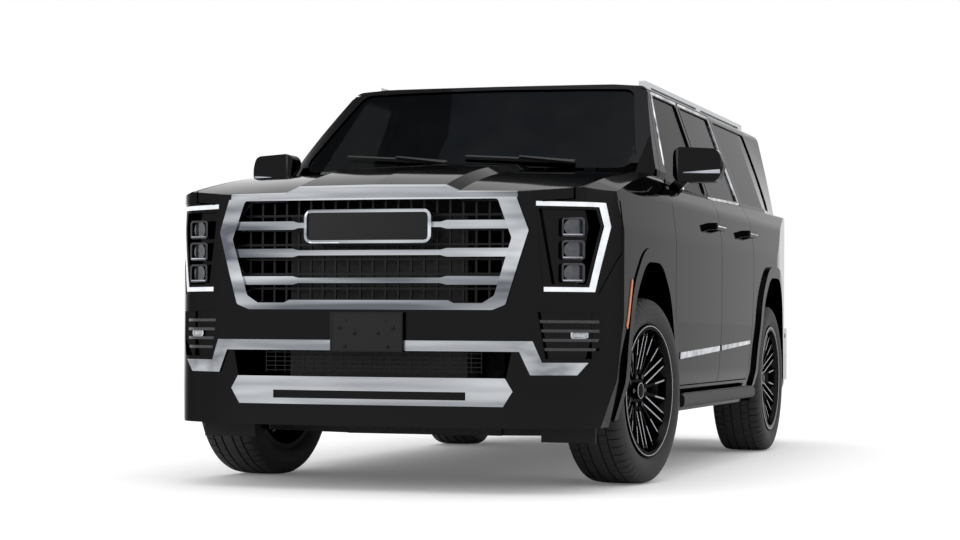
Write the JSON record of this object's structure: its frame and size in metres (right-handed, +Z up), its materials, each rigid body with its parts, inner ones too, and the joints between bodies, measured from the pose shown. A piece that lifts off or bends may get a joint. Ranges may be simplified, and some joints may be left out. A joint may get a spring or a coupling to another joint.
{
  "type": "full-size sport utility vehicle",
  "caption": "Large black family utility vehicle with bright barred grille, opening doors, hood and liftgate, steered front wheels and three rows of seats.",
  "frame": {"origin": "on the ground under the centre of the outer box, standing on its wheels", "axes": "+Z up, the vehicle faces -Y, +X is its left-hand side"},
  "size_m": [2.4036, 5.3459, 1.934],
  "materials": {
    "black_paint": "gloss",
    "gloss_black": "gloss",
    "chrome": "polished",
    "lamp_white": "gloss",
    "lamp_red": "gloss",
    "dark_glass": "tinted",
    "clear_glass": "clear",
    "rubber_tyre": "matte",
    "wheel_metal": "machined",
    "rail_metal": "satin",
    "frame_metal": "painted",
    "axle_metal": "cast",
    "engine_metal": "cast",
    "cabin_trim": "grained",
    "seat_leather": "soft"
  },
  "bodies": {
    "body": {"chassis_frame": "frame_metal", "floor_pan": "frame_metal", "side_frames": "black_paint", "roof_panel": "black_paint", "fenders": "black_paint", "front_bumper": "black_paint", "grille": "chrome", "grille_mesh": "gloss_black", "headlamps": "gloss_black", "lamp_lights": "lamp_white", "front_trim": "chrome", "rear_bumper": "black_paint", "tail_lamps": "lamp_red", "body_glass": "clear_glass", "roof_rails": "rail_metal", "running_boards": "gloss_black", "underbody": "axle_metal", "engine_block": "engine_metal", "front_suspension": "axle_metal", "rear_axle": "axle_metal", "dashboard": "cabin_trim", "front_seats": "seat_leather", "rear_seats": "seat_leather"},
    "hood": {"hood": "black_paint"},
    "liftgate": {"liftgate": "black_paint", "liftgate_glass": "dark_glass"},
    "door_front_left": {"door_front_left": "black_paint", "door_glass_front_left": "dark_glass"},
    "door_front_right": {"door_front_right": "black_paint", "door_glass_front_right": "dark_glass"},
    "door_rear_left": {"door_rear_left": "black_paint", "door_glass_rear_left": "dark_glass"},
    "door_rear_right": {"door_rear_right": "black_paint", "door_glass_rear_right": "dark_glass"},
    "knuckle_left": {"knuckle_left": "axle_metal"},
    "knuckle_right": {"knuckle_right": "axle_metal"},
    "wheel_front_left": {"tyre_front_left": "rubber_tyre", "rim_front_left": "wheel_metal"},
    "wheel_front_right": {"tyre_front_right": "rubber_tyre", "rim_front_right": "wheel_metal"},
    "wheel_rear_left": {"tyre_rear_left": "rubber_tyre", "rim_rear_left": "wheel_metal"},
    "wheel_rear_right": {"tyre_rear_right": "rubber_tyre", "rim_rear_right": "wheel_metal"},
    "steering_wheel": {"steering_wheel": "cabin_trim"}
  },
  "joints": [
    {"name": "steer_left", "type": "hinge", "parent": "body", "child": "knuckle_left", "pos_m": [0.8, -1.67, 0.417], "axis": [0, 0, 1], "range_deg": [-26, 42]},
    {"name": "steer_right", "type": "hinge", "parent": "body", "child": "knuckle_right", "pos_m": [-0.8, -1.67, 0.417], "axis": [0, 0, 1], "range_deg": [-26, 42]},
    {"name": "steering_wheel_turn", "type": "hinge", "parent": "body", "child": "steering_wheel", "pos_m": [0.4, -0.66, 1.205], "axis": [0, 0.8829, 0.4695], "range_deg": [-590, 366]},
    {"name": "spin_front_left", "type": "hinge", "parent": "knuckle_left", "child": "wheel_front_left", "pos_m": [0.86932, -1.67974, 0.417], "axis": [0.9903, -0.1392, 0], "continuous": true},
    {"name": "spin_front_right", "type": "hinge", "parent": "knuckle_right", "child": "wheel_front_right", "pos_m": [-0.86932, -1.66026, 0.417], "axis": [0.9903, -0.1392, 0], "continuous": true},
    {"name": "spin_rear_left", "type": "hinge", "parent": "body", "child": "wheel_rear_left", "pos_m": [0.87, 1.401, 0.417], "axis": [1, 0, 0], "continuous": true},
    {"name": "spin_rear_right", "type": "hinge", "parent": "body", "child": "wheel_rear_right", "pos_m": [-0.87, 1.401, 0.417], "axis": [1, 0, 0], "continuous": true},
    {"name": "front_left_door_hinge", "type": "hinge", "parent": "body", "child": "door_front_left", "pos_m": [1.018, -1.208, 0.9], "axis": [0, 0, -1], "range_deg": [0, 65]},
    {"name": "front_right_door_hinge", "type": "hinge", "parent": "body", "child": "door_front_right", "pos_m": [-1.018, -1.208, 0.9], "axis": [0, 0, 1], "range_deg": [0, 65]},
    {"name": "rear_left_door_hinge", "type": "hinge", "parent": "body", "child": "door_rear_left", "pos_m": [1.018, -0.098, 0.9], "axis": [0, 0, -1], "range_deg": [0, 70]},
    {"name": "rear_right_door_hinge", "type": "hinge", "parent": "body", "child": "door_rear_right", "pos_m": [-1.018, -0.098, 0.9], "axis": [0, 0, 1], "range_deg": [0, 70]},
    {"name": "hood_hinge", "type": "hinge", "parent": "body", "child": "hood", "pos_m": [0, -1.474, 1.4645], "axis": [-1, 0, 0], "range_deg": [0, 48]},
    {"name": "liftgate_hinge", "type": "hinge", "parent": "body", "child": "liftgate", "pos_m": [0, 2.261, 1.886], "axis": [1, 0, 0], "range_deg": [0, 82]}
  ],
  "couplings": [
    {"joint": "steer_right", "follows": "steer_left", "ratio": 1},
    {"joint": "steering_wheel_turn", "follows": "steer_left", "ratio": -14}
  ]
}
